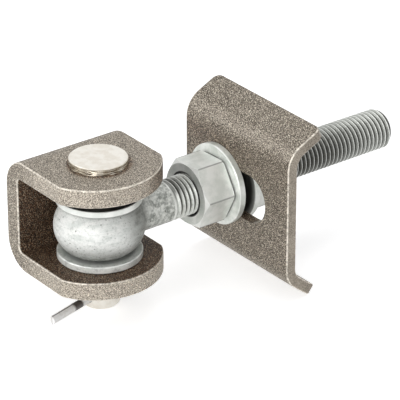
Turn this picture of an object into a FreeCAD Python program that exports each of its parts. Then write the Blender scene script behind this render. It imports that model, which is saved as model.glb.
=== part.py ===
import FreeCAD, Part
import Sketcher
import math
import os

# Adjustable gate hinge: a folded fork for the post, an eye bolt that swings in it on a clevis pin,
# and a slotted, flanged plate clamped on the bolt's thread between two nuts.
# The origin is the centre of the fork's flat back. +X is the way the fork opens, +Z is along the
# pin, and the bolt lies along +Y. Lengths are in millimetres and angles in degrees.

DRIVING_SIZES = {
    # folded fork
    "fork_width": 57.0,
    "fork_thickness": 9.0,
    "fork_gap": 38.0,
    "fork_inner_bend": 2.5,
    "fork_outer_bend": 14.5,
    "pin_to_back": 33.5,
    "ear_front_flare": 2.8,
    "ear_front_reach": 28.0,
    "ear_corner_radius": 4.0,
    "fork_edge_round": 0.8,
    # clevis pin
    "pin_diameter": 18.0,
    "pin_clearance": 0.05,
    "head_diameter": 27.5,
    "head_height": 3.2,
    "head_chamfer": 0.5,
    "stub_length": 15.5,
    "stub_chamfer": 0.8,
    # split pin
    "split_hole_from_end": 5.0,
    "split_diameter": 4.0,
    "split_clearance": 0.2,
    "split_seam": 0.2,
    "split_direction": -75.0,
    "split_leg_reach": 35.2,
    "split_leg_step": 0.8,
    "split_loop_radius": 3.4,
    "split_throat_radius": 2.0,
    "split_throat_gap": 0.6,
    # eye bolt
    "eye_diameter": 42.6,
    "eye_thickness": 25.0,
    "eye_face_diameter": 27.6,
    "neck_fillet": 3.0,
    "bolt_diameter": 20.0,
    "bolt_reach": 169.5,
    "bolt_end_chamfer": 2.0,
    "thread_start": 36.0,
    "thread_pitch": 2.5,
    # washers
    "washer_diameter": 40.0,
    "washer_thickness": 3.5,
    "washer_clearance": 0.5,
    "washer_edge_chamfer": 0.4,
    # hexagon nuts
    "nut_across_flats": 30.0,
    "nut_height": 17.0,
    "nut_clearance": 0.05,
    "nut_chamfer_angle": 30.0,
    "nut_turn": 2.5,
    "nut_countersink": 0.9,
    # slotted plate
    "plate_face": 70.0,
    "plate_thickness": 5.4,
    "plate_length": 77.6,
    "plate_web_height": 65.4,
    "upper_bend_radius": 7.6,
    "lower_bend_radius": 7.0,
    "upper_flange_rise": 26.0,
    "upper_flange_depth": 21.4,
    "lower_flange_drop": 38.0,
    "lower_flange_depth": 18.1,
    "plate_corner_radius": 4.0,
    "plate_edge_round": 0.8,
    "slot_width": 24.0,
    "slot_centres": 20.2,
    "slot_offset": 12.0,
}


class Size:
    """A length or angle with its value now and the expression that the document keeps for it."""

    def __init__(self, value, text):
        self.value = value
        self.text = text

    @staticmethod
    def of(other):
        return other if isinstance(other, Size) else Size(float(other), repr(float(other)))

    def __add__(self, other):
        other = Size.of(other)
        return Size(self.value + other.value, f"({self.text} + {other.text})")

    def __sub__(self, other):
        other = Size.of(other)
        return Size(self.value - other.value, f"({self.text} - {other.text})")

    def __mul__(self, other):
        other = Size.of(other)
        return Size(self.value * other.value, f"({self.text} * {other.text})")

    def __truediv__(self, other):
        other = Size.of(other)
        return Size(self.value / other.value, f"({self.text} / {other.text})")

    def __neg__(self):
        return Size(-self.value, f"(0.0 - {self.text})")

    def __rsub__(self, other):
        return Size.of(other) - self


def sine(angle):
    return Size(math.sin(math.radians(angle.value)), f"sin({angle.text} * 1 deg)")


def cosine(angle):
    return Size(math.cos(math.radians(angle.value)), f"cos({angle.text} * 1 deg)")


def tangent(angle):
    return Size(math.tan(math.radians(angle.value)), f"tan({angle.text} * 1 deg)")


def root(square):
    return Size(math.sqrt(square.value), f"sqrt({square.text})")


class Sizes:
    """The driving sizes as attributes, each tied to its cell in the sheet."""


doc = FreeCAD.newDocument("adjustable_gate_hinge")
sheet = doc.addObject("Spreadsheet::Sheet", "Sizes")
size = Sizes()
for row, (alias, number) in enumerate(DRIVING_SIZES.items(), start=1):
    sheet.set(f"A{row}", alias)
    sheet.set(f"B{row}", str(number))
    sheet.setAlias(f"B{row}", alias)
    setattr(size, alias, Size(number, f"Sizes.{alias}"))
doc.recompute()

# Heights along the pin, from the middle of the fork, and places along the bolt, from the pin.
fork_height = size.fork_gap + size.fork_thickness * 2
ear_top = fork_height / 2
lower_ear_face = -(size.fork_gap / 2)
lower_washer_top = lower_ear_face + size.washer_thickness
eye_middle = lower_washer_top + size.eye_thickness / 2
eye_top = lower_washer_top + size.eye_thickness
pin_radius = size.pin_diameter / 2
bolt_radius = size.bolt_diameter / 2
front_washer_start = size.plate_face - size.washer_thickness
front_nut_start = front_washer_start - size.nut_height
plate_back = size.plate_face + size.plate_thickness
back_nut_start = plate_back + size.washer_thickness
split_hole_height = -(fork_height + size.stub_length - size.split_hole_from_end)

ON_AXIS = None
TINY = 0.01
ALONG_BOLT = FreeCAD.Rotation(FreeCAD.Vector(1, 0, 0), -90)


def bind(item, name, value):
    item.setExpression(name, value.text)


def new_body(name, x=None, y=None, z=None, rotation=None):
    """A body named for its node, placed by sizes, with an optional fixed turn."""
    body = doc.addObject("PartDesign::Body", name)
    body.Label = name
    if rotation:
        body.Placement = FreeCAD.Placement(FreeCAD.Vector(), rotation)
    for axis, place in (("x", x), ("y", y), ("z", z)):
        if place:
            bind(body, f"Placement.Base.{axis}", place)
    return body


def sketch_on(body, role, name):
    sketch = body.newObject("Sketcher::SketchObject", name)
    plane = next(f for f in body.Origin.OriginFeatures if f.Role == role)
    sketch.AttachmentSupport = [(plane, "")]
    sketch.MapMode = "FlatFace"
    return sketch


def pin_point(sketch, geometry, end, x, y):
    """Fix one point of a sketch at (x, y). ON_AXIS stands for zero."""
    for kind, axis, place in (("DistanceX", -2, x), ("DistanceY", -1, y)):
        if place is ON_AXIS:
            sketch.addConstraint(Sketcher.Constraint("PointOnObject", geometry, end, axis))
        else:
            index = sketch.addConstraint(Sketcher.Constraint(kind, -1, 1, geometry, end, place.value))
            bind(sketch, f"Constraints[{index}]", place)


def corner_vector(corner):
    x, y = (0.0 if place is ON_AXIS else place.value for place in corner)
    return FreeCAD.Vector(x, y, 0)


def draw_outline(sketch, corners, arcs=None):
    """A closed outline through corners. arcs gives {side: (radius, bulge)}, where bulge is +1 for
    an arc that lies to the right of its side and -1 for one to the left, each less than half a turn."""
    arcs = arcs or {}
    ends = []
    count = len(corners)
    for side in range(count):
        start = corner_vector(corners[side])
        finish = corner_vector(corners[(side + 1) % count])
        if side not in arcs:
            geometry = sketch.addGeometry(Part.LineSegment(start, finish), False)
            ends.append((geometry, 1, 2))
            continue
        radius, bulge = arcs[side]
        chord = finish - start
        half = chord.Length / 2
        rise = radius.value - math.sqrt(radius.value ** 2 - half ** 2)
        out = FreeCAD.Vector(chord.y, -chord.x, 0).normalize() * bulge
        crown = (start + finish) * 0.5 + out * rise
        if bulge > 0:
            geometry = sketch.addGeometry(Part.Arc(start, crown, finish), False)
            ends.append((geometry, 1, 2))
        else:
            geometry = sketch.addGeometry(Part.Arc(finish, crown, start), False)
            ends.append((geometry, 2, 1))
        index = sketch.addConstraint(Sketcher.Constraint("Radius", geometry, radius.value))
        bind(sketch, f"Constraints[{index}]", radius)
    for side in range(count):
        geometry, first, last = ends[side]
        following, opening, _ = ends[(side + 1) % count]
        sketch.addConstraint(Sketcher.Constraint("Coincident", geometry, last, following, opening))
        pin_point(sketch, geometry, first, *corners[side])


def draw_circle(sketch, radius, x=ON_AXIS, y=ON_AXIS):
    centre = corner_vector((x, y))
    geometry = sketch.addGeometry(Part.Circle(centre, FreeCAD.Vector(0, 0, 1), radius.value), False)
    index = sketch.addConstraint(Sketcher.Constraint("Radius", geometry, radius.value))
    bind(sketch, f"Constraints[{index}]", radius)
    pin_point(sketch, geometry, 3, x, y)


def draw_slot(sketch, centres, radius):
    """An obround along the sketch's first axis, centred on the origin."""
    half, up, r = centres.value / 2, FreeCAD.Vector(0, radius.value, 0), radius.value
    right, left = FreeCAD.Vector(half, 0, 0), FreeCAD.Vector(-half, 0, 0)
    near = sketch.addGeometry(Part.Arc(right - up, right + FreeCAD.Vector(r, 0, 0), right + up), False)
    top = sketch.addGeometry(Part.LineSegment(right + up, left + up), False)
    far = sketch.addGeometry(Part.Arc(left + up, left - FreeCAD.Vector(r, 0, 0), left - up), False)
    low = sketch.addGeometry(Part.LineSegment(left - up, right - up), False)
    for first, second in ((near, top), (top, far), (far, low), (low, near)):
        sketch.addConstraint(Sketcher.Constraint("Tangent", first, 2, second, 1))
    sketch.addConstraint(Sketcher.Constraint("Equal", near, far))
    pin_point(sketch, near, 3, centres / 2, ON_AXIS)
    pin_point(sketch, far, 3, -(centres / 2), ON_AXIS)
    index = sketch.addConstraint(Sketcher.Constraint("Radius", near, radius.value))
    bind(sketch, f"Constraints[{index}]", radius)


def extrude(body, kind, sketch, name, length, both_ways=True):
    feature = body.newObject(f"PartDesign::{kind}", name)
    feature.Profile = sketch
    feature.SideType = "Symmetric" if both_ways else "One side"
    bind(feature, "Length", length)
    doc.recompute()
    return feature


def pad(body, sketch, name, length, both_ways=True):
    return extrude(body, "Pad", sketch, name, length, both_ways)


def cut_through(body, sketch, name, length):
    """A pocket that reaches length in all, half of it each way from its sketch."""
    before = body.Shape.Volume
    feature = extrude(body, "Pocket", sketch, name, length)
    assert feature.Shape.Volume < before - TINY, f"{name} cuts nothing"
    return feature


def turn(body, kind, sketch, name):
    """A full turn of a sketch about its own vertical axis, added or cut away."""
    feature = body.newObject(f"PartDesign::{kind}", name)
    feature.Profile = sketch
    feature.ReferenceAxis = (sketch, ["V_Axis"])
    feature.Angle = 360.0
    doc.recompute()
    return feature


def wind(body, sketch, name, pitch, length):
    """A right-hand helical cut that starts at its sketch and runs back along the sketch's vertical axis."""
    feature = body.newObject("PartDesign::SubtractiveHelix", name)
    feature.Profile = sketch
    feature.ReferenceAxis = (sketch, ["V_Axis"])
    feature.Mode = "pitch-height-angle"
    bind(feature, "Pitch", pitch)
    bind(feature, "Height", length)
    feature.Reversed = True
    doc.recompute()
    return feature


def edges_where(shape, test):
    names = [f"Edge{i}" for i, edge in enumerate(shape.Edges, start=1) if test(edge)]
    assert names, "no edge was found to round"
    return names


def soften(body, kind, feature, name, radius, test):
    """A fillet or chamfer on the edges of a feature that pass a test."""
    rounding = body.newObject(f"PartDesign::{kind}", name)
    rounding.Base = (feature, edges_where(feature.Shape, test))
    bind(rounding, "Radius" if kind == "Fillet" else "Size", radius)
    doc.recompute()
    return rounding


def near(a, b):
    return abs(a - b) < TINY


def runs_along(edge, axis):
    """True for a straight edge parallel to the axis named x, y or z."""
    spread = edge.BoundBox
    lengths = {"x": spread.XLength, "y": spread.YLength, "z": spread.ZLength}
    along = lengths.pop(axis)
    return along > TINY and max(lengths.values()) < TINY


def lies_in(edge, axis, place):
    """True for an edge that lies wholly in the plane where the named coordinate equals place."""
    box = edge.BoundBox
    low, high = {"x": (box.XMin, box.XMax), "y": (box.YMin, box.YMax), "z": (box.ZMin, box.ZMax)}[axis]
    return near(low, place) and near(high, place)


# Folded fork

def make_fork():
    body = new_body("fork")
    reach = size.pin_to_back + size.ear_front_reach
    half_gap = size.fork_gap / 2
    half_height = fork_height / 2
    wall = size.fork_thickness
    section = sketch_on(body, "XZ_Plane", "fork_section")
    draw_outline(section, [
        (ON_AXIS, -half_height),
        (reach, -half_height),
        (reach, -half_gap),
        (wall, -half_gap),
        (wall, half_gap),
        (reach, half_gap),
        (reach, half_height),
        (ON_AXIS, half_height),
    ])
    strip = pad(body, section, "fork_strip", size.fork_width)
    inner = soften(body, "Fillet", strip, "inner_bends", size.fork_inner_bend,
                   lambda e: runs_along(e, "y") and lies_in(e, "x", wall.value))
    soften(body, "Fillet", inner, "outer_bends", size.fork_outer_bend,
           lambda e: runs_along(e, "y") and lies_in(e, "x", 0))

    half_width = size.fork_width / 2
    radius = half_width + size.ear_front_flare
    centre = reach - radius
    shoulder = centre + root(radius * radius - half_width * half_width)
    beyond = half_width * 2
    outline = sketch_on(body, "XY_Plane", "ear_front_outline")
    draw_outline(outline, [
        (shoulder, half_width),
        (shoulder, beyond),
        (reach + half_width, beyond),
        (reach + half_width, -beyond),
        (shoulder, -beyond),
        (shoulder, -half_width),
    ], {5: (radius, 1)})
    ears = cut_through(body, outline, "ear_fronts", fork_height * 2)
    soften(body, "Fillet", ears, "ear_corners", size.ear_corner_radius,
           lambda e: runs_along(e, "z") and lies_in(e, "x", shoulder.value))

    bore = sketch_on(body, "XY_Plane", "pin_bore_circle")
    draw_circle(bore, pin_radius + size.pin_clearance, size.pin_to_back)
    bored = cut_through(body, bore, "pin_bores", fork_height * 2)

    def on_outside(edge):
        """The outlines of both flat sides, and the rims of the ears' fronts."""
        box = edge.BoundBox
        flat_side = box.YLength < TINY and near(abs(box.YMin), half_width.value)
        level = box.ZLength < TINY
        return flat_side or (level and box.XMax > shoulder.value + TINY)

    soften(body, "Fillet", bored, "worn_edges", size.fork_edge_round, on_outside)
    return body


# Clevis pin

def make_hinge_pin():
    body = new_body("hinge_pin", x=size.pin_to_back, z=ear_top,
                    rotation=FreeCAD.Rotation(FreeCAD.Vector(0, 0, 1), size.split_direction.value))
    foot = -(fork_height + size.stub_length)
    head_radius = size.head_diameter / 2
    profile = sketch_on(body, "XZ_Plane", "pin_profile")
    draw_outline(profile, [
        (ON_AXIS, foot),
        (pin_radius - size.stub_chamfer, foot),
        (pin_radius, foot + size.stub_chamfer),
        (pin_radius, ON_AXIS),
        (head_radius, ON_AXIS),
        (head_radius, size.head_height - size.head_chamfer),
        (head_radius - size.head_chamfer, size.head_height),
        (ON_AXIS, size.head_height),
    ])
    turn(body, "Revolution", profile, "turned_pin")
    hole = sketch_on(body, "YZ_Plane", "split_hole_circle")
    draw_circle(hole, size.split_diameter / 2 + size.split_clearance, ON_AXIS, split_hole_height)
    cut_through(body, hole, "split_hole", size.pin_diameter * 2)
    return body


# Split pin, bent from half-round wire with the flats together

def make_split_pin():
    seam = size.split_seam.value / 2
    wire_radius = size.split_diameter.value / 2 - seam
    loop = size.split_loop_radius.value
    throat = size.split_throat_radius.value
    throat_x = -(pin_radius.value + size.split_throat_gap.value)
    loop_x = throat_x - math.sqrt((loop + throat) ** 2 - (seam + throat) ** 2)
    reach = size.split_leg_reach.value
    flat = FreeCAD.Vector
    lean = math.atan2(seam + throat, throat_x - loop_x)
    touch = flat(loop_x + loop * math.cos(lean), loop * math.sin(lean), 0)
    centre = flat(throat_x, seam + throat, 0)
    halfway = centre + (touch + flat(throat_x, seam, 0) - centre * 2).normalize() * throat

    def mirrored(point):
        return flat(point.x, -point.y, 0)

    long_leg = flat(reach, seam, 0)
    short_leg = flat(reach - size.split_leg_step.value, -seam, 0)
    throat_start = flat(throat_x, seam, 0)
    path = Part.Wire([
        Part.LineSegment(long_leg, throat_start).toShape(),
        Part.Arc(throat_start, halfway, touch).toShape(),
        Part.Arc(touch, flat(loop_x - loop, 0, 0), mirrored(touch)).toShape(),
        Part.Arc(mirrored(touch), mirrored(halfway), mirrored(throat_start)).toShape(),
        Part.LineSegment(mirrored(throat_start), short_leg).toShape(),
    ])
    top = flat(reach, seam, wire_radius)
    side = flat(reach, seam + wire_radius, 0)
    foot = flat(reach, seam, -wire_radius)
    section = Part.Wire([Part.Arc(top, side, foot).toShape(), Part.LineSegment(foot, top).toShape()])
    bent = path.makePipeShell([section], True, False)
    item = doc.addObject("Part::Feature", "split_pin")
    item.Label = "split_pin"
    item.Shape = bent
    height = ear_top.value + split_hole_height.value
    item.Placement = FreeCAD.Placement(
        FreeCAD.Vector(size.pin_to_back.value, 0, height),
        FreeCAD.Rotation(FreeCAD.Vector(0, 0, 1), size.split_direction.value),
    )
    return item


# Forged eye bolt, with a metric thread from the plain shank to its end

def make_eye_bolt():
    body = new_body("eye_bolt", x=size.pin_to_back, z=eye_middle)
    eye_radius = size.eye_diameter / 2
    face_radius = size.eye_face_diameter / 2
    half = size.eye_thickness / 2
    reach_in = (eye_radius * eye_radius - face_radius * face_radius - half * half)
    barrel_radius = eye_radius - reach_in / ((eye_radius - face_radius) * 2)
    eye_profile = sketch_on(body, "XZ_Plane", "eye_profile")
    draw_outline(eye_profile, [
        (ON_AXIS, -half),
        (face_radius, -half),
        (face_radius, half),
        (ON_AXIS, half),
    ], {1: (barrel_radius, 1)})
    turn(body, "Revolution", eye_profile, "forged_eye")

    shank_profile = sketch_on(body, "XY_Plane", "shank_profile")
    draw_outline(shank_profile, [
        (ON_AXIS, pin_radius),
        (bolt_radius, pin_radius),
        (bolt_radius, size.bolt_reach - size.bolt_end_chamfer),
        (bolt_radius - size.bolt_end_chamfer, size.bolt_reach),
        (ON_AXIS, size.bolt_reach),
    ])
    shank = turn(body, "Revolution", shank_profile, "shank")

    def at_neck(edge):
        """The closed curve where the round shank leaves the barrel of the eye."""
        box = edge.BoundBox
        on_shank = near(max(box.XMax, -box.XMin), bolt_radius.value) or near(box.ZMax, bolt_radius.value)
        return on_shank and box.YMax < eye_radius.value and box.YMin > pin_radius.value + 1

    soften(body, "Fillet", shank, "neck_blend", size.neck_fillet, at_neck)
    bore = sketch_on(body, "XY_Plane", "eye_bore_circle")
    draw_circle(bore, pin_radius + size.pin_clearance)
    cut_through(body, bore, "eye_bore", size.eye_thickness * 2)
    cut_thread(body)
    return body


def cut_thread(body):
    """The groove of a metric thread, with 30 degree flanks and a flat root, wound in from past the end."""
    groove_depth = size.thread_pitch * 5 / 8 * cosine(Size(30.0, "30.0"))
    root_half = size.thread_pitch / 8
    past_crest = size.thread_pitch / 16
    mouth_half = root_half + (groove_depth + past_crest) * tangent(Size(30.0, "30.0"))
    middle = size.bolt_reach + size.thread_pitch / 2
    groove = sketch_on(body, "XY_Plane", "thread_groove")
    draw_outline(groove, [
        (bolt_radius - groove_depth, middle - root_half),
        (bolt_radius + past_crest, middle - mouth_half),
        (bolt_radius + past_crest, middle + mouth_half),
        (bolt_radius - groove_depth, middle + root_half),
    ])
    wind(body, groove, "thread", size.thread_pitch, middle - size.thread_start)


# Flat washers, two on the pin and two on the bolt

def make_washer(name, bore_radius, **place):
    body = new_body(name, **place)
    ring = sketch_on(body, "XY_Plane", f"{name}_ring")
    draw_circle(ring, size.washer_diameter / 2)
    draw_circle(ring, bore_radius + size.washer_clearance)
    disc = pad(body, ring, f"{name}_disc", size.washer_thickness, both_ways=False)
    soften(body, "Chamfer", disc, f"{name}_rims", size.washer_edge_chamfer,
           lambda e: near(e.BoundBox.XMax, size.washer_diameter.value / 2) and e.BoundBox.ZLength < TINY)
    return body


# Hexagon nuts, chamfered at both ends

def make_nut(name, start):
    turned = FreeCAD.Rotation(FreeCAD.Vector(0, 0, 1), -size.nut_turn.value)
    body = new_body(name, x=size.pin_to_back, y=start, z=eye_middle, rotation=ALONG_BOLT.multiply(turned))
    across = size.nut_across_flats / 2
    corner_radius = across / cosine(Size(30.0, "30.0"))
    half = corner_radius / 2
    hexagon = sketch_on(body, "XY_Plane", f"{name}_hexagon")
    draw_outline(hexagon, [
        (corner_radius, ON_AXIS),
        (half, across),
        (-half, across),
        (-corner_radius, ON_AXIS),
        (-half, -across),
        (half, -across),
    ])
    pad(body, hexagon, f"{name}_block", size.nut_height, both_ways=False)
    outside = corner_radius * 1.1
    drop = (outside - across) * tangent(size.nut_chamfer_angle)
    for end, face, slope in (("near", None, 1), ("far", size.nut_height, -1)):
        wedge = sketch_on(body, "XZ_Plane", f"{name}_{end}_wedge")
        level = drop if slope > 0 else size.nut_height - drop
        draw_outline(wedge, [(across, face), (outside, face), (outside, level)])
        before = body.Shape.Volume
        turn(body, "Groove", wedge, f"{name}_{end}_chamfer")
        assert body.Shape.Volume < before - TINY, f"{name} has no chamfer at its {end} end"
    bore = sketch_on(body, "XY_Plane", f"{name}_bore_circle")
    bore_radius = bolt_radius + size.nut_clearance
    draw_circle(bore, bore_radius)
    bored = cut_through(body, bore, f"{name}_bore", size.nut_height * 3)
    soften(body, "Chamfer", bored, f"{name}_countersinks", size.nut_countersink,
           lambda e: near(e.BoundBox.XMax, bore_radius.value) and e.BoundBox.ZLength < TINY)
    return body


# Slotted plate, folded at the top and the bottom

def make_plate():
    body = new_body("slotted_plate", x=size.pin_to_back + size.slot_offset, y=size.plate_face, z=eye_middle)
    wall = size.plate_thickness
    corner = size.plate_web_height / 2

    def flange(angle, depth):
        """The flange's outer end, its inner end and its inner corner, as distances from the web."""
        outer_y = depth - wall * sine(angle)
        outer_z = corner + outer_y * tangent(angle)
        inner_z = outer_z - wall * cosine(angle)
        inner_corner = inner_z - (depth - wall) * tangent(angle)
        return (outer_y, outer_z), (depth, inner_z), (wall, inner_corner)

    top_outer, top_inner, top_corner = flange(size.upper_flange_rise, size.upper_flange_depth)
    low_outer, low_inner, low_corner = flange(size.lower_flange_drop, size.lower_flange_depth)

    def below(point):
        return point[0], -point[1]

    section = sketch_on(body, "YZ_Plane", "plate_section")
    draw_outline(section, [
        (ON_AXIS, -corner),
        below(low_outer),
        below(low_inner),
        below(low_corner),
        top_corner,
        top_inner,
        top_outer,
        (ON_AXIS, corner),
    ])
    folded = pad(body, section, "folded_strip", size.plate_length)
    half_length = size.plate_length.value / 2

    def at_end(edge):
        return lies_in(edge, "x", half_length) or lies_in(edge, "x", -half_length)

    def at_tip(edge):
        """The short edges through the thickness at the tips of both flanges."""
        box = edge.BoundBox
        return at_end(edge) and any(
            near(box.YMin, outer[0].value) and near(box.YMax, inner[0].value)
            for outer, inner in ((top_outer, top_inner), (low_outer, low_inner)))

    cornered = soften(body, "Fillet", folded, "plate_corners", size.plate_corner_radius, at_tip)
    for side, place, radius in (("upper", 1, size.upper_bend_radius), ("lower", -1, size.lower_bend_radius)):
        inside = soften(body, "Fillet", cornered, f"{side}_inner_bend", radius,
                        lambda e: runs_along(e, "x") and lies_in(e, "y", wall.value)
                        and e.BoundBox.ZMin * place > 0)
        cornered = soften(body, "Fillet", inside, f"{side}_outer_bend", radius + wall,
                          lambda e: runs_along(e, "x") and lies_in(e, "y", 0)
                          and e.BoundBox.ZMin * place > 0)
    slot = sketch_on(body, "XZ_Plane", "slot_outline")
    draw_slot(slot, size.slot_centres, size.slot_width / 2)
    slotted = cut_through(body, slot, "slot", wall * 4)
    soften(body, "Fillet", slotted, "plate_edges", size.plate_edge_round, at_end)
    return body


make_fork()
make_hinge_pin()
make_split_pin()
make_eye_bolt()
make_washer("lower_washer", pin_radius, x=size.pin_to_back, z=lower_ear_face)
make_washer("upper_washer", pin_radius, x=size.pin_to_back, z=eye_top)
make_washer("front_washer", bolt_radius, x=size.pin_to_back, y=front_washer_start, z=eye_middle,
            rotation=ALONG_BOLT)
make_washer("back_washer", bolt_radius, x=size.pin_to_back, y=plate_back, z=eye_middle,
            rotation=ALONG_BOLT)
make_nut("front_nut", front_nut_start)
make_nut("back_nut", back_nut_start)
make_plate()
doc.recompute()

NODES = ["fork", "hinge_pin", "split_pin", "eye_bolt", "lower_washer", "upper_washer", "front_washer",
         "back_washer", "front_nut", "back_nut", "slotted_plate"]

for item in doc.Objects:
    faults = [state for state in item.State if state in ("Invalid", "Error")]
    assert not faults, f"{item.Label} is {faults}"
shapes = {item.Label: item.Shape for item in doc.Objects if item.Label in NODES}
for node in NODES:
    shape = shapes[node]
    assert not shape.isNull() and shape.isValid(), f"{node} has no valid shape"
    assert len(shape.Solids) == 1, f"{node} has {len(shape.Solids)} solids"

os.makedirs("parts", exist_ok=True)
for node in NODES:
    shapes[node].exportStep(f"parts/{node}.step")
    box = shapes[node].BoundBox
    print(f"{node}: {shapes[node].Volume / 1000:.2f} cm3, from ({box.XMin:.1f}, {box.YMin:.1f}, {box.ZMin:.1f})"
          f" to ({box.XMax:.1f}, {box.YMax:.1f}, {box.ZMax:.1f})")
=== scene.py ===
import math

import bmesh
import bpy
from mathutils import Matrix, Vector


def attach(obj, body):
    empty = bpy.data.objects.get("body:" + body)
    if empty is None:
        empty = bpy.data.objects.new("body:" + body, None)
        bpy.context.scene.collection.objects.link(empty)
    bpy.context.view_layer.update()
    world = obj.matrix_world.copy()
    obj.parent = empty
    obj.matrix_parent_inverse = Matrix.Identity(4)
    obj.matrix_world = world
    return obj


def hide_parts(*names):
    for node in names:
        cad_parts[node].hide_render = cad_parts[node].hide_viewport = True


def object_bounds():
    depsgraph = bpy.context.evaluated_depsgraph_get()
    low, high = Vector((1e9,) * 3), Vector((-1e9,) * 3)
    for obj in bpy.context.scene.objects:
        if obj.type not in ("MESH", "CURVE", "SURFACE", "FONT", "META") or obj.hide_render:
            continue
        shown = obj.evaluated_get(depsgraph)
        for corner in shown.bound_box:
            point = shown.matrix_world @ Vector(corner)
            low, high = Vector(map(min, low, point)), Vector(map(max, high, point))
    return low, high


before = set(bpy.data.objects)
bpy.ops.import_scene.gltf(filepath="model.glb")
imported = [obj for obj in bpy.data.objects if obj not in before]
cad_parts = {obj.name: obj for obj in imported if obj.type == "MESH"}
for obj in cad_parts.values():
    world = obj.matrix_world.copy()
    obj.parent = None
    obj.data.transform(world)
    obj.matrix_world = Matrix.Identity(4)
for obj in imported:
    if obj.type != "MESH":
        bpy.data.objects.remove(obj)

cad_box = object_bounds()


# Sizes and places of the hinge, in millimetres and degrees
# The fork opens along +X, the bolt runs along +Y and the pin stands along +Z

MM = 0.001

PIN_X = 33.5
BOLT_Z = -3.0

FORK_THICKNESS = 9.0
FORK_BEND = 14.5
FORK_SIDE = 28.5
EAR_TOP = 28.0
EAR_INSIDE = EAR_TOP - FORK_THICKNESS

HEAD_RADIUS = 13.75
SPLIT_DIRECTION = -75.0

WASHER_RADIUS = 20.0
LOWER_WASHER_FOOT = -19.0
UPPER_WASHER_TOP = 13.0
BACK_WASHER_FACE = 75.4

EYE_FOOT = -15.5
EYE_TOP = 9.5
BOLT_END = 169.5
THREAD_START = 36.0
THREAD_PITCH = 2.5
THREAD_RADIUS = 10.0
THREAD_ROOT = 8.5
END_CHAMFER = 2.0

NUT_FLAT = 15.0
NUT_CORNER = 17.32
FRONT_NUT_END = 66.5
BACK_NUT_START = 78.9
BACK_NUT_END = 95.9

SLOT_MIDDLE = 45.5
SLOT_HALF_LENGTH = 22.1
SLOT_HALF_WIDTH = 12.0


# Shader maths on sockets

def feed(socket, value):
    """Link a signal into a socket, or set a plain number, colour or vector on it."""
    if isinstance(value, Signal):
        socket.id_data.links.new(value.socket, socket)
    else:
        socket.default_value = value


def add_node(tree, kind, settings=None, inputs=None):
    """A new node: its settings are set first, then its sockets, each by name or number."""
    node = tree.nodes.new("ShaderNode" + kind)
    for setting, value in (settings or {}).items():
        setattr(node, setting, value)
    for socket, value in (inputs or {}).items():
        feed(node.inputs[socket], value)
    return node


class Signal:
    """A value that varies over a surface, written with Python's own operators."""

    def __init__(self, socket):
        self.socket = socket

    def worked_out(self, operation, *operands, clamp=False):
        """A Math node in this signal's material, with its operands in the node's own order."""
        settings = {"operation": operation, "use_clamp": clamp}
        node = add_node(self.socket.id_data, "Math", settings, dict(enumerate(operands)))
        return Signal(node.outputs[0])

    def __add__(self, other):
        return self.worked_out("ADD", self, other)

    __radd__ = __add__

    def __sub__(self, other):
        return self.worked_out("SUBTRACT", self, other)

    def __rsub__(self, other):
        return self.worked_out("SUBTRACT", other, self)

    def __mul__(self, other):
        return self.worked_out("MULTIPLY", self, other)

    __rmul__ = __mul__

    def __pow__(self, other):
        return self.worked_out("POWER", self, other)

    def __abs__(self):
        return self.worked_out("ABSOLUTE", self)

    def clamped(self):
        return self.worked_out("ADD", self, 0.0, clamp=True)

    def larger(self, other):
        return self.worked_out("MAXIMUM", self, other)

    def ramp(self, low, high):
        """0 below low and 1 above high, with a smooth rise between them."""
        inputs = {"Value": self, "From Min": low, "From Max": high}
        node = add_node(self.socket.id_data, "MapRange", {"interpolation_type": "SMOOTHSTEP"}, inputs)
        return Signal(node.outputs["Result"])

    def fall(self, low, high):
        """1 below low and 0 above high."""
        return 1.0 - self.ramp(low, high)

    def between(self, low, full_from, full_to, high):
        """1 from full_from to full_to, and 0 below low and above high."""
        return self.ramp(low, full_from) * self.fall(full_to, high)

    def near(self, place, full, none):
        """1 within full of a place, and 0 further than none from it."""
        return abs(self - place).fall(full, none)


def distance(across, along):
    return (across * across + along * along) ** 0.5


def from_pin_axis(x, y):
    return distance(x - PIN_X, y)


def from_bolt_axis(x, z):
    return distance(x - PIN_X, z - BOLT_Z)


def rgb(red, green, blue):
    """A display colour of 0 to 255 as the linear colour that nodes use."""
    def linear(part):
        part /= 255.0
        return part / 12.92 if part <= 0.04045 else ((part + 0.055) / 1.055) ** 2.4
    return (linear(red), linear(green), linear(blue), 1.0)


BLACK = rgb(0, 0, 0)
WHITE = rgb(255, 255, 255)


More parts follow.
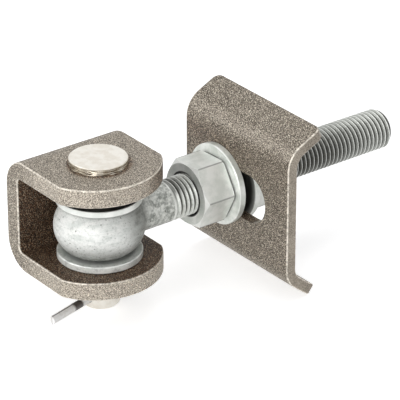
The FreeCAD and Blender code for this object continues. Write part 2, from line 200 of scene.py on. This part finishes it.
class Finish:
    """A material or world whose shader is fed node by node."""

    GRAIN_TURN = (0.5, 0.35, 0.8)
    UNTURNED = (0.0, 0.0, 0.0)
    EVEN = (1.0, 1.0, 1.0)

    def __init__(self, owner, shader="Principled BSDF"):
        owner.use_nodes = True
        self.owner = owner
        self.tree = owner.node_tree
        self.shader = self.tree.nodes[shader]

    def node(self, kind, settings=None, inputs=None):
        return add_node(self.tree, kind, settings, inputs)

    def wear(self, values):
        """Feed the shader's sockets, each by name."""
        for name, value in values.items():
            feed(self.shader.inputs[name], value)
        return self.owner

    def surface(self, output):
        return Signal(self.node("TexCoord").outputs[output])

    def axes(self):
        """The three coordinates in millimetres."""
        split = self.node("SeparateXYZ", inputs={"Vector": self.surface("Object")})
        return [Signal(split.outputs[axis]) * (1.0 / MM) for axis in "XYZ"]

    def facing(self):
        """How far the surface faces along each of the object's axes, either way, from 0 to 1."""
        split = self.node("SeparateXYZ", inputs={"Vector": self.surface("Normal")})
        return [abs(Signal(split.outputs[axis])) for axis in "XYZ"]

    def placed(self, lift, turn, stretch):
        """The object's coordinates for a texture: shifted, turned and stretched."""
        inputs = {"Vector": self.surface("Object"), "Location": (lift, lift, lift),
                  "Rotation": turn, "Scale": stretch}
        return Signal(self.node("Mapping", inputs=inputs).outputs["Vector"])

    def noise(self, size_mm, detail=3.0, roughness=0.55, stretch=None, lift=0.0):
        """Noise from 0 to 1 whose blotches are about size_mm across, turned off the faces' own
        directions unless it is stretched along them."""
        place = self.placed(lift, self.UNTURNED if stretch else self.GRAIN_TURN, stretch or self.EVEN)
        inputs = {"Vector": place, "Scale": 1.0 / (size_mm * MM), "Detail": detail, "Roughness": roughness}
        return Signal(self.node("TexNoise", {"noise_dimensions": "3D"}, inputs).outputs["Fac"])

    def specks(self, size_mm, lift=0.0):
        """Distance from scattered points about size_mm apart, 0 at each point."""
        inputs = {"Vector": self.placed(lift, self.UNTURNED, self.EVEN), "Scale": 1.0 / (size_mm * MM)}
        return Signal(self.node("TexVoronoi", {"feature": "F1"}, inputs).outputs["Distance"])

    def rings(self, radius, z, spacing_mm):
        """Noise from 0 to 1 that runs round the pin, as a turning tool leaves it."""
        rate = 1.0 / spacing_mm
        place = Signal(self.node("CombineXYZ", inputs={"X": radius * rate, "Y": z * rate}).outputs["Vector"])
        inputs = {"Vector": place, "Scale": 1.0, "Detail": 2.0}
        return Signal(self.node("TexNoise", {"noise_dimensions": "2D"}, inputs).outputs["Fac"])

    def mix(self, first, second, amount):
        """A colour between two colours."""
        inputs = {"Factor": amount, 6: first, 7: second}
        return Signal(self.node("Mix", {"data_type": "RGBA"}, inputs).outputs[2])

    def blend(self, first, second, amount):
        """A number between two numbers."""
        inputs = {"Factor": amount, 2: first, 3: second}
        return Signal(self.node("Mix", {"data_type": "FLOAT"}, inputs).outputs[0])

    def vector_maths(self, operation, *operands, output="Vector"):
        node = self.node("VectorMath", {"operation": operation}, dict(enumerate(operands)))
        return Signal(node.outputs[output])

    def edges(self, width_mm):
        """1 along outside and inside edges, 0 on plain faces."""
        rounded = Signal(self.node("Bevel", {"samples": 6}, {"Radius": width_mm * MM}).outputs["Normal"])
        plain = Signal(self.node("NewGeometry").outputs["Normal"])
        return (1.0 - self.vector_maths("DOT_PRODUCT", rounded, plain, output="Value")).ramp(0.01, 0.22)

    def relief(self, height, depth_mm):
        """A bumped normal from a height signal of 0 to 1."""
        bump = self.node("Bump", inputs={"Height": height, "Distance": depth_mm * MM})
        return Signal(bump.outputs["Normal"])

    def tilted(self, rise, normal):
        """A normal leaned upwards by a signal, as on the grooves of a turned side."""
        up = Signal(self.node("CombineXYZ", inputs={"Z": rise}).outputs["Vector"])
        return self.vector_maths("NORMALIZE", self.vector_maths("ADD", normal, up))

    def behind_the_object(self):
        """1 for rays that show the background, straight, mirrored or through glass, and 0 for the
        rays that light the object."""
        path = self.node("LightPath")
        mirrored = Signal(path.outputs["Is Glossy Ray"])
        through = Signal(path.outputs["Is Transmission Ray"])
        return mirrored.larger(through).larger(Signal(path.outputs["Is Camera Ray"]))


def new_finish(name):
    return Finish(bpy.data.materials.new(name))


# Bare steel: the fork and the plate

def middle_of(facing):
    """1 on a rounding, between a face that looks along an axis and one that lies along it."""
    return facing.between(0.10, 0.30, 0.88, 0.98)


def bare_steel(finish, wear_and_painted_highlight, bright_cut, dull_cut, dark, painted_sheen, lift=0.0):
    """Hot-rolled steel: warm grey with a fine bright and dark grain. The masks give the roundings, worn
    bright together with a painted highlight, the pale cut rims, the smooth cut ends, the faces darkened by
    dark scale together with painted shade, and the painted sheen on the bends and the top face."""
    grain = finish.noise(0.55, detail=1.0, roughness=0.5, lift=lift)
    glints = finish.noise(0.50, detail=1.0, lift=lift + 2.2).ramp(0.53, 0.61)
    pits = finish.noise(0.50, detail=1.0, lift=lift + 5.2).ramp(0.51, 0.60)
    patches = finish.noise(9.0, detail=3.0, lift=lift + 3.1)
    base = finish.mix(rgb(82, 74, 63), rgb(154, 144, 129), grain.ramp(0.36, 0.64))
    base = finish.mix(base, rgb(126, 119, 107), patches.ramp(0.40, 0.75) * 0.4)
    # Painted light: the sheen mask lightens the bends and top faces.
    base = finish.mix(base, rgb(190, 180, 166), bright_cut * 0.75 + painted_sheen * 0.36)
    # The dark tone stands for dark scale together with painted shade and shadow.
    scale_and_shade_tone = finish.mix(rgb(18, 9, 4), rgb(102, 66, 38), grain.ramp(0.44, 0.64))
    base = finish.mix(base, scale_and_shade_tone, dark)
    spark = finish.mix(rgb(236, 226, 208), rgb(234, 208, 176), dark)
    base = finish.mix(base, spark, glints * (0.78 + bright_cut * 0.20 - dark * 0.30))
    base = finish.mix(base, rgb(48, 38, 28), pits * (0.90 - bright_cut * 0.20))
    mottled = patches.ramp(0.3, 0.7) * 0.4 + grain.ramp(0.3, 0.7) * 0.6
    base = finish.mix(base, finish.mix(rgb(118, 109, 97), rgb(184, 174, 159), mottled), dull_cut * 0.8)
    # The roundings are worn bright together with a painted highlight.
    worn_and_highlit = wear_and_painted_highlight * (0.28 + finish.noise(1.8, lift=lift + 1.0).ramp(0.34, 0.62) * 0.6)
    base = finish.mix(base, rgb(246, 238, 224), worn_and_highlit * (1.0 - dark * 0.4))
    return finish.wear({
        "Base Color": base,
        "Metallic": 0.40,
        "Roughness": finish.blend(0.52, 0.34, worn_and_highlit) + (grain - 0.5) * 0.15,
        "Normal": finish.relief(grain * 0.5 + glints * 0.3 - pits * 0.3, 0.12),
    })


def fork_steel():
    """Pale along the cut rims towards the front and dark inside between the ears, with painted shade on the
    far top corner and a painted shadow round the pin's head that reaches further on its +X side. The
    roundings are worn bright with a painted highlight, and the top face gets painted light."""
    finish = new_finish("fork_steel")
    x, y, z = finish.axes()
    _, facing_y, facing_z = finish.facing()
    on_ears = x.ramp(FORK_BEND - 1.5, FORK_BEND + 0.5)
    on_top = z.ramp(EAR_TOP - 1.0, EAR_TOP - 0.2)
    roundings = finish.blend(middle_of(facing_y), middle_of(facing_z), on_ears)
    cut_faces = finish.blend(facing_y, 1.0 - facing_z, on_ears).ramp(0.80, 0.95)
    rims = cut_faces * (0.12 + x.ramp(6.0, 36.0) * 0.88)
    between_ears = abs(z).fall(EAR_INSIDE + 0.05, EAR_INSIDE + 0.5)
    within_sides = abs(y).fall(FORK_SIDE - 1.1, FORK_SIDE - 0.6)
    inside = x.ramp(FORK_THICKNESS - 0.3, FORK_THICKNESS - 0.05) * between_ears * within_sides
    # Painted shade: the far top corner is darkened as the light falls off there.
    painted_far_shade = y.ramp(4.0, 24.0) * z.ramp(10.0, 18.0) * facing_z.fall(0.4, 0.8) * 0.9
    from_pin = from_pin_axis(x, y)
    # Painted shadow round the pin's head, wider on its +X side.
    painted_head_shadow_lee = from_pin.fall(HEAD_RADIUS + 0.45, HEAD_RADIUS + 3.25) * (x - PIN_X).ramp(-9.0, 4.0)
    painted_head_shadow = from_pin.fall(HEAD_RADIUS + 0.45, HEAD_RADIUS + 1.15).larger(painted_head_shadow_lee) * on_top
    # Darkened: the inside between the ears, plus the painted shadow and shade above.
    dark = inside.larger(painted_head_shadow).larger(painted_far_shade)
    # Rims and roundings lose their brightness inside the painted far shade.
    clear_of_painted_shade = 1.0 - painted_far_shade
    # The top face gets painted light through the sheen mask.
    return bare_steel(finish, roundings * clear_of_painted_shade, rims * clear_of_painted_shade, 0.0, dark, on_top * 0.7)


def plate_steel():
    """Smooth on the cut ends, with a painted highlight over the bends, painted shade on the web, deepest
    just below the upper bend, and the deepest painted shade on the slot's walls.
    """
    finish = new_finish("plate_steel")
    x, y, z = finish.axes()
    facing_x, facing_y, facing_z = finish.facing()
    ends = facing_x.ramp(0.90, 0.99)
    # Painted highlight over the bends.
    painted_bend_sheen = facing_z.between(0.25, 0.50, 0.65, 0.86)
    # Painted shade on the web, heaviest just below the upper bend.
    below_bend = z.between(0.0, 17.0, 19.0, 26.0) * (1.0 - x.ramp(20.0, 80.0) * 0.8)
    web = facing_y.ramp(0.90, 0.98) * (0.12 + below_bend * 0.38)
    along_slot = x.near(SLOT_MIDDLE, SLOT_HALF_LENGTH + 0.7, SLOT_HALF_LENGTH + 1.4)
    across_slot = z.near(BOLT_Z, SLOT_HALF_WIDTH + 0.3, SLOT_HALF_WIDTH + 1.0)
    # Painted shade on the slot's walls.
    slot_walls = facing_y.fall(0.3, 0.7) * along_slot * across_slot * 0.7
    flange_corners = y.ramp(82.0, 84.0) * (facing_y - facing_z).ramp(0.0, 0.08)
    wear_and_painted_highlight = middle_of(facing_x) * (1.0 - flange_corners * 0.85)
    return bare_steel(finish, wear_and_painted_highlight, 0.0, ends, web.larger(slot_walls), painted_bend_sheen, lift=11.0)


# Zinc: the washers, the nuts and the eye bolt

def smooth_zinc(finish, painted_shade_and_grime, wear_and_painted_highlight=0.0, lift=0.0):
    """Dull zinc on turned and pressed steel: pale, slightly green grey with faint clouds. The masks give the
    painted shade together with any stains, and the painted highlights; every edge also carries a painted
    highlight."""
    cloud = finish.noise(6.0, detail=4.0, roughness=0.6, lift=lift)
    fine = finish.noise(1.0, detail=3.0, lift=lift + 2.0)
    stains = finish.noise(2.2, detail=4.0, roughness=0.65, lift=lift + 4.0).ramp(0.62, 0.78)
    base = finish.mix(rgb(214, 219, 212), rgb(240, 242, 237), cloud.ramp(0.35, 0.65))
    base = finish.mix(base, rgb(168, 173, 165), stains * 0.6)
    # Painted highlight along every edge, with the chamfer, flat and rim highlights added.
    base = finish.mix(base, rgb(248, 249, 245), (finish.edges(0.6) * 0.8 + wear_and_painted_highlight).clamped())
    # Painted shade, with any stains, mixed in last.
    base = finish.mix(base, rgb(22, 21, 18), painted_shade_and_grime)
    return finish.wear({
        "Base Color": base,
        "Metallic": 0.35,
        "Roughness": 0.40 + (fine - 0.5) * 0.2,
        "Normal": finish.relief(cloud * 0.4 + fine * 0.6, 0.03),
    })


def bolt_washer_zinc():
    """The back washer's face carries a black painted shadow where the slot lets it be seen, less near its
    rim, and the whole back washer carries a little painted shade.
    """
    finish = new_finish("bolt_washer_zinc")
    x, y, z = finish.axes()
    rim = from_bolt_axis(x, z).ramp(WASHER_RADIUS - 3.5, WASHER_RADIUS)
    on_back_washer = y.ramp(BACK_WASHER_FACE - 0.2, BACK_WASHER_FACE - 0.05)
    # Painted shadow on the back washer's face behind the slot.
    painted_slot_shadow = on_back_washer * y.fall(BACK_WASHER_FACE + 0.1, BACK_WASHER_FACE + 0.5) * (0.97 - rim * 0.30)
    # Light painted shade over the whole back washer.
    return smooth_zinc(finish, painted_slot_shadow.larger(on_back_washer * 0.12))


def pin_washer_zinc():
    """Painted shade lies along the lower rims and round the foot of the ball, the lower washer has real
    smeared stains, the upper washer's top is painted black as shade, and the rims get a painted highlight."""
    finish = new_finish("pin_washer_zinc")
    x, y, z = finish.axes()
    radius = from_pin_axis(x, y)
    on_lower_washer = z.fall(EYE_FOOT + 1.5, EYE_FOOT + 3.5)
    # Painted shade along the lower rim of each washer.
    painted_rim_shade = z.near(EYE_TOP + 0.1, 0.25, 0.60) + z.near(LOWER_WASHER_FOOT + 0.1, 0.25, 0.60)
    smears = finish.noise(4.0, detail=4.0, roughness=0.65, lift=9.0).ramp(0.46, 0.66)
    # Painted rim shade together with real stains on the lower washer.
    painted_shade_and_dirt = painted_rim_shade.clamped() * 0.7 + on_lower_washer * smears * 0.30
    # Painted shadow round the foot of the ball.
    painted_ball_foot_shadow = on_lower_washer * radius.fall(WASHER_RADIUS - 4.5, WASHER_RADIUS - 1.0) * 0.48
    # Painted black shade on the upper washer's top.
    painted_top_shade = z.ramp(UPPER_WASHER_TOP - 0.3, UPPER_WASHER_TOP - 0.02)
    painted_shade_and_grime = painted_shade_and_dirt.clamped().larger(painted_ball_foot_shadow).larger(painted_top_shade)
    # Painted highlight on the washers' rims.
    rims = radius.ramp(WASHER_RADIUS - 0.7, WASHER_RADIUS - 0.1)
    return smooth_zinc(finish, painted_shade_and_grime, rims * 0.35, lift=3.0)


def nut_zinc():
    """Dark hairlines down the six corners; painted shade round the bore, where the nut meets its washer and
    over the end face, heavier towards its top; painted highlights on the chamfers between the flats and the
    grey end face, and painted light on the flats."""
    finish = new_finish("nut_zinc")
    x, y, z = finish.axes()
    radius = from_bolt_axis(x, z)
    _, facing_y, _ = finish.facing()
    # Painted highlight on the chamfers.
    chamfers = facing_y.between(0.55, 0.75, 0.92, 0.97) * radius.ramp(NUT_FLAT - 2.5, NUT_FLAT - 2.0)
    uneven = 0.30 + finish.noise(5.0, lift=9.0) * 0.45
    corners = radius.ramp(NUT_CORNER - 0.30, NUT_CORNER - 0.10) * (1.0 - chamfers) * uneven
    # Painted shade in the bore.
    bore = radius.fall(THREAD_RADIUS + 1.0, THREAD_RADIUS + 1.6)
    # Painted shade on the end face, heavier towards its top.
    end_face = facing_y.ramp(0.95, 0.99) * (0.12 + z.ramp(BOLT_Z - 11.0, BOLT_Z + 11.0) * 0.30)
    # Painted shade where the nut meets its washer.
    seat = y.between(FRONT_NUT_END - 1.1, FRONT_NUT_END - 0.6, BACK_NUT_START + 0.6, BACK_NUT_START + 1.1)
    painted_shade_and_grime = corners.larger(bore).larger(seat * 0.85).larger(end_face)
    # Painted light on the flats.
    flats = facing_y.fall(0.3, 0.5)
    return smooth_zinc(finish, painted_shade_and_grime, chamfers * 0.75 + flats * 0.25, lift=6.0)


def forged_zinc():
    """Zinc on the forging: a pale ball with small dark pits, painted grey shade low down and towards the
    shank, deepest at its foot, painted shade at its seats, a mottled grey shank, and a seam from the dies
    along its middle."""
    finish = new_finish("zinc_forging")
    _, y, z = finish.axes()
    on_shank = y.ramp(15.0, 24.0)
    streaks = finish.noise(7.0, detail=5.0, roughness=0.65, stretch=(1.0, 1.0, 3.5))
    cloud = finish.noise(2.2, detail=5.0, roughness=0.7, lift=3.0)
    fine = finish.noise(0.8, detail=3.0, lift=2.0)
    pitted = finish.noise(6.0, lift=8.0).ramp(0.40, 0.56)
    pits = finish.specks(2.0, lift=5.0).fall(0.08, 0.24) * pitted
    # Painted shade low down and towards the shank.
    shaded = z.fall(BOLT_Z - 12.0, BOLT_Z + 2.0)
    towards_shank = y.ramp(-5.0, 11.0)
    painted_ball_shade = shaded.larger(towards_shank) * (0.50 + streaks.ramp(0.35, 0.65) * 0.5)
    ball = finish.mix(rgb(214, 218, 213), rgb(243, 244, 240), streaks.ramp(0.32, 0.60))
    ball = finish.mix(ball, rgb(92, 96, 89), painted_ball_shade * 0.85)
    ball = finish.mix(ball, rgb(150, 154, 147), cloud.ramp(0.50, 0.70) * 0.40)
    mottle = finish.noise(1.1, detail=3.0, roughness=0.7, lift=12.0).ramp(0.53, 0.68)
    ball = finish.mix(ball, rgb(104, 106, 98), mottle * (0.22 + painted_ball_shade * 0.35))
    # Painted shade round the foot of the ball.
    foot = z.fall(EYE_FOOT + 1.5, EYE_FOOT + 6.5) * cloud.ramp(0.40, 0.60)
    ball = finish.mix(ball, rgb(78, 80, 72), foot * 0.55)
    # Painted shade at the seats.
    seats = z.near(EYE_TOP - 0.2, 0.2, 0.9) * 0.7 + z.near(EYE_FOOT + 0.2, 0.6, 1.5)
    ball = finish.mix(ball, rgb(34, 32, 27), seats.clamped() * 0.85)
    shank = finish.mix(rgb(140, 144, 137), rgb(230, 232, 226), cloud.ramp(0.34, 0.62))
    base = finish.mix(ball, shank, on_shank)
    base = finish.mix(base, rgb(96, 94, 86), pits * 0.85)
    wander = (finish.noise(5.0, lift=7.0) - 0.5) * 0.8
    seam = (z + wander).near(BOLT_Z, 0.15, 0.65)
    return finish.wear({
        "Base Color": base,
        "Metallic": 0.20,
        "Roughness": 0.56 + (fine - 0.5) * 0.25,
        "Normal": finish.relief(cloud * 0.5 + fine * 0.5 + seam * 0.7 - pits * 0.6, 0.10),
    })


def threaded_zinc():
    """Zinc on a rolled thread: painted highlights on the crests, painted shade in the roots, beyond the back
    nut on the underside and by the fork, and a plain grey face at the bolt's end.
    """
    finish = new_finish("zinc_thread")
    x, y, z = finish.axes()
    radius = from_bolt_axis(x, z)
    cloud = finish.noise(2.2, detail=4.0)
    # The flanks darken from 80 to 120 mm along the bolt.
    flank = finish.mix(rgb(224, 227, 221), rgb(192, 195, 189), y.ramp(80.0, 120.0))
    # Painted shade in the roots.
    base = finish.mix(rgb(88, 88, 82), flank, radius.ramp(THREAD_ROOT + 0.1, THREAD_ROOT + 0.8))
    base = finish.mix(base, rgb(118, 119, 113), cloud.ramp(0.50, 0.75) * 0.5)
    # Painted shade beyond the back nut, heaviest on the underside, and on the first turns by the fork.
    by_back_nut = y.ramp(BACK_NUT_END - 0.9, BACK_NUT_END + 2.1) * (1.0 - y.ramp(125.0, 160.0) * 0.6)
    underside = 1.0 - z.ramp(BOLT_Z + 3.0, BOLT_Z + 9.5) * 0.75
    by_fork = y.fall(THREAD_START + 4.0, THREAD_START + 12.0) * z.ramp(BOLT_Z + 1.0, BOLT_Z + 8.0)
    painted_shade_and_dirt = by_back_nut * underside * (0.50 + cloud * 0.4) + by_fork * 0.6
    base = finish.mix(base, rgb(52, 51, 46), painted_shade_and_dirt)
    # Painted highlight on the crests, stronger towards the bolt's end.
    painted_crest_highlight = radius.ramp(THREAD_RADIUS - 0.30, THREAD_RADIUS - 0.05)
    base = finish.mix(base, rgb(246, 248, 243), painted_crest_highlight * (0.55 + y.ramp(125.0, 165.0) * 0.4))
    end_face = y.ramp(BOLT_END - 0.30, BOLT_END - 0.05)
    base = finish.mix(base, rgb(198, 202, 195), end_face * (0.55 + cloud * 0.6))
    return finish.wear({
        "Base Color": base,
        "Metallic": 0.4,
        "Roughness": 0.40 + (cloud - 0.5) * 0.2,
        "Normal": finish.relief(cloud, 0.05),
    })


# Bright steel: the clevis pin and its split pin

def turned_steel():
    """Bright turned steel with fine rings. The head's side is darker and grooved all round."""
    finish = new_finish("pin_steel")
    x, y, z = finish.axes()
    radius = from_pin_axis(x, y)
    rings = finish.rings(radius, z, spacing_mm=0.25)
    haze = finish.noise(4.0, detail=4.0)
    grain = finish.noise(0.7, detail=2.0, lift=3.0)
    base = finish.mix(rgb(232, 226, 214), rgb(244, 240, 231), haze.ramp(0.35, 0.65))
    base = finish.mix(base, rgb(212, 204, 188), grain.ramp(0.55, 0.75) * 0.15)
    side = radius.ramp(HEAD_RADIUS - 0.35, HEAD_RADIUS - 0.05)
    streaks = finish.noise(4.0, detail=2.0, stretch=(1.0, 1.0, 0.02), lift=6.0).ramp(0.38, 0.62)
    base = finish.mix(base, rgb(166, 156, 139), side * (0.7 + streaks * 0.3))
    grooves = finish.noise(0.2, detail=0.0, stretch=(0.05, 0.05, 1.0), lift=9.0)
    turned = finish.relief(rings * 0.6 + grain * 0.4, 0.004)
    return finish.wear({
        "Base Color": base,
        "Metallic": finish.blend(0.55, 1.0, side),
        "Roughness": finish.blend(0.32 + (rings - 0.5) * 0.10, 0.24, side),
        "Normal": finish.tilted(side * (grooves * 1.7 - 0.68), turned),
    })


def split_wire():
    """Bright drawn wire, dark in the seam between the two legs, with painted shade on a stretch near the
    pin.
    """
    finish = new_finish("split_wire")
    x, y, _ = finish.axes()
    # Painted shade on a stretch of the legs near the pin.
    painted_ear_shade = from_pin_axis(x, y).between(14.0, 15.5, 19.5, 21.5) * 0.93
    turn = math.radians(SPLIT_DIRECTION)
    seam = ((x - PIN_X) * math.sin(turn) - y * math.cos(turn)).near(0.0, 0.15, 0.55)
    haze = finish.noise(2.5, detail=3.0, lift=4.0)
    base = finish.mix(rgb(240, 238, 233), rgb(252, 251, 249), haze.ramp(0.35, 0.60))
    base = finish.mix(base, rgb(44, 32, 23), painted_ear_shade.larger(seam * 0.75))
    return finish.wear({
        "Base Color": base,
        "Metallic": 0.05,
        "Roughness": 0.26 + haze * 0.15,
        "Normal": finish.relief(haze, 0.03),
    })


# Camera, in metres

def show(item):
    bpy.context.scene.collection.objects.link(item)


def aim(item, target):
    item.rotation_euler = (Vector(target) - item.location).to_track_quat("-Z", "Y").to_euler()


lens = bpy.data.cameras.new("camera")
lens.lens = 252.0
lens.sensor_width = 36.0
lens.clip_start = 0.05
camera = bpy.data.objects.new("camera", lens)
camera.location = (0.9686, -0.6544, 0.5901)
aim(camera, (0.0506, 0.0450, 0.0021))
show(camera)
bpy.context.scene.camera = camera


# Threaded eye bolt

def close_end(work):
    """A flat face over the open end where the shank and the thread meet."""
    bmesh.ops.holes_fill(work, edges=[edge for edge in work.edges if edge.is_boundary])


def finished_piece(name, mesh, work, material, sharp_angle):
    """Turn the worked mesh into a piece of the bolt, smooth but for edges sharper than an angle."""
    work.to_mesh(mesh)
    work.free()
    mesh.shade_smooth()
    mesh.set_sharp_from_angle(angle=math.radians(sharp_angle))
    piece = bpy.data.objects.new(name, mesh)
    show(piece)
    mesh.materials.append(material)
    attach(piece, "eye")
    return piece


def forged_eye():
    """The eye and the plain shank, up to where the thread starts."""
    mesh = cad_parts["eye_bolt"].data.copy()
    mesh.materials.clear()
    work = bmesh.new()
    work.from_mesh(mesh)
    bmesh.ops.remove_doubles(work, verts=work.verts, dist=0.001 * MM)
    bmesh.ops.bisect_plane(work, geom=work.verts[:] + work.edges[:] + work.faces[:],
                           plane_co=(0, THREAD_START * MM, 0), plane_no=(0, 1, 0), clear_outer=True)
    close_end(work)
    return finished_piece("forged_eye", mesh, work, forged_zinc(), sharp_angle=32)


def thread_profile():
    """One turn's outline as shares of the pitch and radii, with a rounded root and crest."""
    rise = [(0.10, THREAD_ROOT + 0.04), (0.16, THREAD_ROOT + 0.22),
            (0.41, THREAD_RADIUS - 0.12), (0.46, THREAD_RADIUS)]
    fall = [(1.0 - share, radius) for share, radius in reversed(rise)]
    return [(0.0, THREAD_ROOT)] + rise + fall


def bolt_point(work, radius, angle, along):
    """A point on the bolt, by its distance from the axis, its turn round it and its place along it."""
    return work.verts.new(((PIN_X + radius * math.sin(angle)) * MM, along * MM,
                           (BOLT_Z + radius * math.cos(angle)) * MM))


def faded(radius, along):
    """A thread radius after the run-out by the shank and the chamfer at the bolt's end."""
    runout = 1.6 * THREAD_PITCH
    share = min(1.0, (along - THREAD_START) / runout)
    depth = (THREAD_RADIUS - radius) * share * share * (3 - 2 * share)
    return min(THREAD_RADIUS - depth, THREAD_RADIUS - END_CHAMFER + (BOLT_END - along))


def rolled_thread():
    """A right-hand thread that fades in at the shank and ends in the chamfered bolt end."""
    steps = 60
    turns = math.ceil((BOLT_END - THREAD_START) / THREAD_PITCH) + 2
    first_root = BOLT_END - THREAD_PITCH * (turns - 0.25)
    profile = thread_profile()
    work = bmesh.new()
    rows = []
    for step in range(steps * turns + 1):
        row = []
        for share, radius in profile:
            along = first_root + THREAD_PITCH * (step / steps + share)
            along = min(max(along, THREAD_START), BOLT_END)
            row.append(bolt_point(work, faded(radius, along), 2 * math.pi * step / steps, along))
        rows.append(row)
    for step in range(steps * turns):
        here, there = rows[step], rows[step + 1]
        if step + steps + 1 < len(rows):
            here = here + rows[step + steps][:1]
            there = there + rows[step + steps + 1][:1]
        for low in range(len(here) - 1):
            work.faces.new((here[low], here[low + 1], there[low + 1], there[low]))
    lip = THREAD_RADIUS - END_CHAMFER
    centre = bolt_point(work, 0.0, 0.0, BOLT_END)
    rim = [bolt_point(work, lip, 2 * math.pi * step / steps, BOLT_END) for step in range(steps)]
    for step in range(steps):
        work.faces.new((centre, rim[step], rim[(step + 1) % steps]))
    bmesh.ops.remove_doubles(work, verts=work.verts, dist=0.002 * MM)
    bmesh.ops.dissolve_degenerate(work, edges=work.edges, dist=0.001 * MM)
    close_end(work)
    bmesh.ops.recalc_face_normals(work, faces=work.faces)
    mesh = bpy.data.meshes.new("rolled_thread")
    return finished_piece("rolled_thread", mesh, work, threaded_zinc(), sharp_angle=50)


eye = forged_eye()
rolled_thread()
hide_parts("eye_bolt")


# Finishes of the other pieces

def coat(material, *nodes):
    for node in nodes:
        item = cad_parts[node]
        for slot in item.material_slots:
            slot.material = material


coat(fork_steel(), "fork")
coat(plate_steel(), "slotted_plate")
coat(pin_washer_zinc(), "lower_washer", "upper_washer")
coat(bolt_washer_zinc(), "front_washer", "back_washer")
coat(nut_zinc(), "front_nut", "back_nut")
coat(turned_steel(), "hinge_pin")
coat(split_wire(), "split_pin")


# Floor, background and lamps, in metres and watts

def pale_floor(height):
    mesh = bpy.data.meshes.new("floor")
    work = bmesh.new()
    bmesh.ops.create_grid(work, x_segments=1, y_segments=1, size=6.0)
    work.to_mesh(mesh)
    work.free()
    floor = bpy.data.objects.new("floor", mesh)
    floor.location = (0, 0, height)
    show(floor)
    finish = new_finish("floor_white")
    mesh.materials.append(finish.wear({
        "Base Color": (0.86, 0.86, 0.86, 1.0),
        "Roughness": 0.9,
        "Specular IOR Level": 0.0,
        "Emission Color": finish.mix(BLACK, WHITE, finish.behind_the_object()),
        "Emission Strength": 0.60,
    }))


def studio_world():
    """Even soft light all round, behind a white background."""
    world = bpy.data.worlds.new("studio")
    bpy.context.scene.world = world
    finish = Finish(world, "Background")
    soft_grey = (0.40, 0.40, 0.41, 1.0)
    finish.wear({"Color": finish.mix(soft_grey, WHITE, finish.behind_the_object())})


def soft_lamp(name, place, size, watts):
    """A square lamp that looks at the middle of the hinge."""
    light = bpy.data.lights.new(name, "AREA")
    light.shape = "SQUARE"
    light.size = size
    light.energy = watts
    lamp = bpy.data.objects.new(name, light)
    lamp.location = place
    aim(lamp, (0.045, 0.05, 0.0))
    show(lamp)


bpy.context.scene.view_settings.view_transform = "Standard"
pale_floor(cad_box[0][2] - 0.3 * MM)
studio_world()
soft_lamp("front_lamp", (0.70, -1.05, 0.45), 0.7, 8.0)
soft_lamp("left_lamp", (-0.45, -1.05, 0.75), 0.8, 3.5)
soft_lamp("top_lamp", (-0.2, 0.4, 1.3), 0.9, 4.5)
